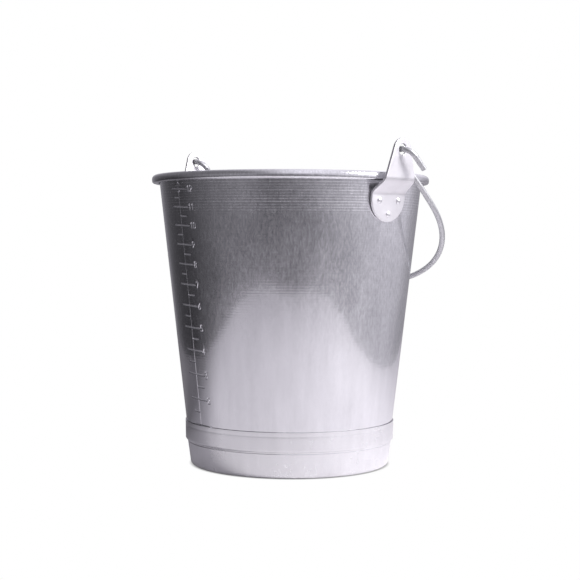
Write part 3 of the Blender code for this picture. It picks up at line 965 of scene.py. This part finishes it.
def rivet_metal(name, dark, light, roughness):
    """Headed aluminium: smooth, with small hammer facets."""
    material, nodes, shader, place = new_metal(name)
    facet = nodes.noise(place, scale=420, roughness=0.4)
    grain = nodes.noise(place, scale=1500, roughness=0.6)
    nodes.put(shader.inputs["Base Color"], nodes.ramp(nodes.remap(facet, 0.3, 0.7), dark, light))
    rough = nodes.math("MULTIPLY", grain, 0.14)
    nodes.put(shader.inputs["Roughness"], nodes.math("ADD", rough, roughness - 0.07))
    nodes.put(shader.inputs["Normal"], nodes.bump(facet, 0.012 * MM))
    return material


def wire_metal(name, dark, light, roughness):
    """Drawn and plated wire: fine lines along it, and a mottled zinc skin."""
    material, nodes, shader, place = new_metal(name)
    across, over, run = [nodes.add("ShaderNodeAttribute", attribute_name=key).outputs["Fac"]
                         for key in ("across_wire", "over_wire", "run")]
    shrunk = nodes.math("MULTIPLY", run, 2.0)
    around = nodes.add("ShaderNodeCombineXYZ", {0: across, 1: over, 2: shrunk}).outputs[0]
    drawn = nodes.noise(around, scale=7, detail=3, roughness=0.6)
    spangle = nodes.noise(place, scale=380, detail=3, roughness=0.55)
    tone = nodes.weighted((drawn, 0.5), (spangle, 0.5))
    nodes.put(shader.inputs["Base Color"], nodes.ramp(nodes.remap(tone, 0.3, 0.7), dark, light))
    rough = nodes.weighted((drawn, 0.12), (spangle, 0.16))
    nodes.put(shader.inputs["Roughness"], nodes.math("ADD", rough, roughness - 0.14))
    nodes.put(shader.inputs["Normal"], nodes.bump(drawn, 0.03 * MM, nodes.bump(spangle, 0.008 * MM)))
    return material


# ---------------------------------------------------------------- stage, light and camera


def camera_frame():
    """Axes with X to the camera's right, Y away from the camera and Z up."""
    return Matrix.Rotation(CAMERA_ANGLE + math.pi / 2, 4, "Z")


def build_table():
    """A plain pale table top in front of and around the pail."""
    turn = TABLE_CORNER - TABLE_FRONT
    corners = [(TABLE_RIGHT, TABLE_BACK), (TABLE_LEFT, TABLE_BACK)]
    corners += arc((TABLE_LEFT + TABLE_CORNER, turn), TABLE_CORNER, math.pi, math.pi * 1.5, 16)
    corners += arc((TABLE_RIGHT - TABLE_CORNER, turn), TABLE_CORNER, math.pi * 1.5, math.tau, 16)
    mesh = bpy.data.meshes.new("table")
    mesh.from_pydata([(x, y, 0) for x, y in corners], [], [tuple(range(len(corners)))])
    mesh.transform(camera_frame())
    mesh.materials.append(table_material())
    table = bpy.data.objects.new("table", mesh)
    bpy.context.scene.collection.objects.link(table)


def table_material():
    """Matte board with a painted shadow of the pail at its left and back. The camera sees it plain white,
    but for a painted contact shadow.
    """
    material = bpy.data.materials.new("table_board_painted_shadow")
    material.use_nodes = True
    nodes = Nodes(material.node_tree)
    shader = material.node_tree.nodes["Principled BSDF"]
    output = material.node_tree.nodes["Material Output"]
    place = nodes.add("ShaderNodeTexCoord").outputs["Object"]
    # Painted shadow of the pail: the board's colour darkens towards the left and back and lightens towards
    # the near right.
    right = nodes.math("MAXIMUM", share_along(nodes, place, (1, 0, 0)), 0.0)
    near_side = share_along(nodes, place, TABLE_NEAR_SIDE)
    toward = nodes.math("ADD", near_side, nodes.math("MULTIPLY", right, TABLE_RIGHT_WEIGHT))
    painted_light_share = nodes.remap(toward, *TABLE_PAINTED_SHADE)
    nodes.put(shader.inputs["Base Color"], nodes.ramp(painted_light_share, TABLE_PAINTED_SHADOW, TABLE_PAINTED_LIT))
    shader.inputs["Roughness"].default_value = 0.9
    shader.inputs["Specular IOR Level"].default_value = 0.1
    # Painted contact shadow: where the pail stands close, the white that the camera sees dims.
    openness = nodes.add("ShaderNodeAmbientOcclusion", {"Distance": CONTACT_REACH}, samples=8).outputs["AO"]
    glow_with_painted_shadow = nodes.remap(openness, *PAINTED_CONTACT_SHADOW)
    white = nodes.add("ShaderNodeEmission", {"Color": WHITE, "Strength": glow_with_painted_shadow})
    seen = nodes.add("ShaderNodeLightPath").outputs["Is Camera Ray"]
    both = nodes.add("ShaderNodeMixShader", {0: seen, 1: shader.outputs[0], 2: white.outputs[0]})
    nodes.put(output.inputs["Surface"], both.outputs[0])
    return material


def build_world():
    """A dim room that brightens to the right and overhead; plain white to the camera."""
    world = bpy.data.worlds.new("studio")
    bpy.context.scene.world = world
    world.use_nodes = True
    nodes = Nodes(world.node_tree)
    output = world.node_tree.nodes["World Output"]
    way = nodes.add("ShaderNodeTexCoord").outputs["Generated"]
    up = nodes.add("ShaderNodeSeparateXYZ", {0: way}).outputs[2]
    side = share_along(nodes, way, (1, 0, 0))
    back = share_along(nodes, way, (0, 1, 0))
    overhead = nodes.levels(nodes.remap(side, -1, 1), CEILING_LEVELS)
    light = nodes.mix(nodes.remap(up, *CEILING_RISE), room_light(nodes, up, side, back), overhead)
    dim = nodes.add("ShaderNodeBackground", {"Color": ROOM_TINT, "Strength": light})
    white = nodes.add("ShaderNodeBackground", {"Color": WHITE, "Strength": 1.0})
    seen = nodes.add("ShaderNodeLightPath").outputs["Is Camera Ray"]
    both = nodes.add("ShaderNodeMixShader", {0: seen, 1: dim.outputs[0], 2: white.outputs[0]})
    nodes.put(output.inputs["Surface"], both.outputs[0])


def room_light(nodes, up, side, back):
    """Light of the room below the ceiling, with a far left that dims to the back, and a back wall."""
    room = nodes.levels(nodes.remap(side, -1, 1), ROOM_LEVELS)
    low = nodes.math("MULTIPLY", nodes.remap(up, *BELOW_TABLE), nodes.remap(up, *NEAR_HORIZON))
    room = nodes.math("MULTIPLY", room, low)
    far_left = nodes.mix(nodes.remap(side, *FAR_LEFT_SIDE), 1.0, nodes.remap(back, *FAR_LEFT))
    room = nodes.math("MULTIPLY", room, far_left)
    behind = nodes.math("ADD", back, nodes.math("MULTIPLY", side, BACK_WALL_TURN))
    return nodes.mix(nodes.remap(behind, *BACK_WALL), room, BACK_WALL_LEVEL)


def share_along(nodes, way, axis):
    """How far a place or a direction reaches along an axis, given in the camera's heading."""
    inputs = {0: way, 1: camera_frame() @ Vector(axis)}
    return nodes.add("ShaderNodeVectorMath", inputs, operation="DOT_PRODUCT").outputs["Value"]


def build_lamp():
    """A soft square lamp at the near right, placed and aimed in the camera's heading."""
    lamp = bpy.data.lights.new("key", "AREA")
    lamp.shape = "SQUARE"
    lamp.size = LAMP_SIZE
    lamp.energy = LAMP_POWER
    lamp.spread = LAMP_SPREAD
    lamp.color = LAMP_TINT
    holder = bpy.data.objects.new("key", lamp)
    bpy.context.scene.collection.objects.link(holder)
    spot = camera_frame() @ Vector(LAMP_PLACE)
    holder.location = spot
    holder.rotation_euler = (spot - camera_frame() @ Vector(LAMP_AIM)).to_track_quat("Z", "Y").to_euler()


def build_camera():
    """The photograph's camera, which looks a little down."""
    camera = bpy.data.cameras.new("camera")
    camera.lens = CAMERA_LENS
    camera.sensor_width = 36.0
    holder = bpy.data.objects.new("camera", camera)
    bpy.context.scene.collection.objects.link(holder)
    place = Matrix.Translation(camera_frame() @ Vector((0, -CAMERA_DISTANCE, CAMERA_HEIGHT)))
    look = Matrix.Rotation(math.pi / 2 - CAMERA_PITCH, 4, "X") @ Matrix.Rotation(CAMERA_ROLL, 4, "Z")
    holder.matrix_world = place @ camera_frame() @ look
    bpy.context.scene.camera = holder


def build_stage():
    """What stands around the pail."""
    bpy.context.scene.view_settings.view_transform = "Standard"
    build_table()
    build_world()
    build_lamp()
    build_camera()


def dress_rim_wire(material):
    """The CAD wire inside the curl has the right shape already, and only gets its metal."""
    wire = frame["nodes"]["rim_wire"]
    wire.data.materials.clear()
    wire.data.materials.append(material)


def main():
    """Makes the metals, the pieces and the stage."""
    spun = spun_metal("spun_wall", *WALL_METAL, LINES_FROM)
    ring = spun_metal("spun_ring", *RING_METAL, RING_TOP)
    pressed = pressed_metal("pressed_sheet", *EAR_METAL)
    rivet = rivet_metal("headed_rivet", *RIVET_METAL)
    wire = wire_metal("plated_wire", *WIRE_METAL)
    build_vessel(spun)
    build_foot_ring(ring)
    build_tack("tack_front", TACK_ANGLE, ring)
    build_tack("tack_back", TACK_ANGLE + math.pi, ring)
    plate = ear_mesh()
    for label, turn in (("right", 0.0), ("left", math.pi)):
        build_ear(label, turn, plate, pressed)
        build_rivets(label, turn, rivet)
    build_bail(wire)
    dress_rim_wire(wire)
    build_stage()


main()
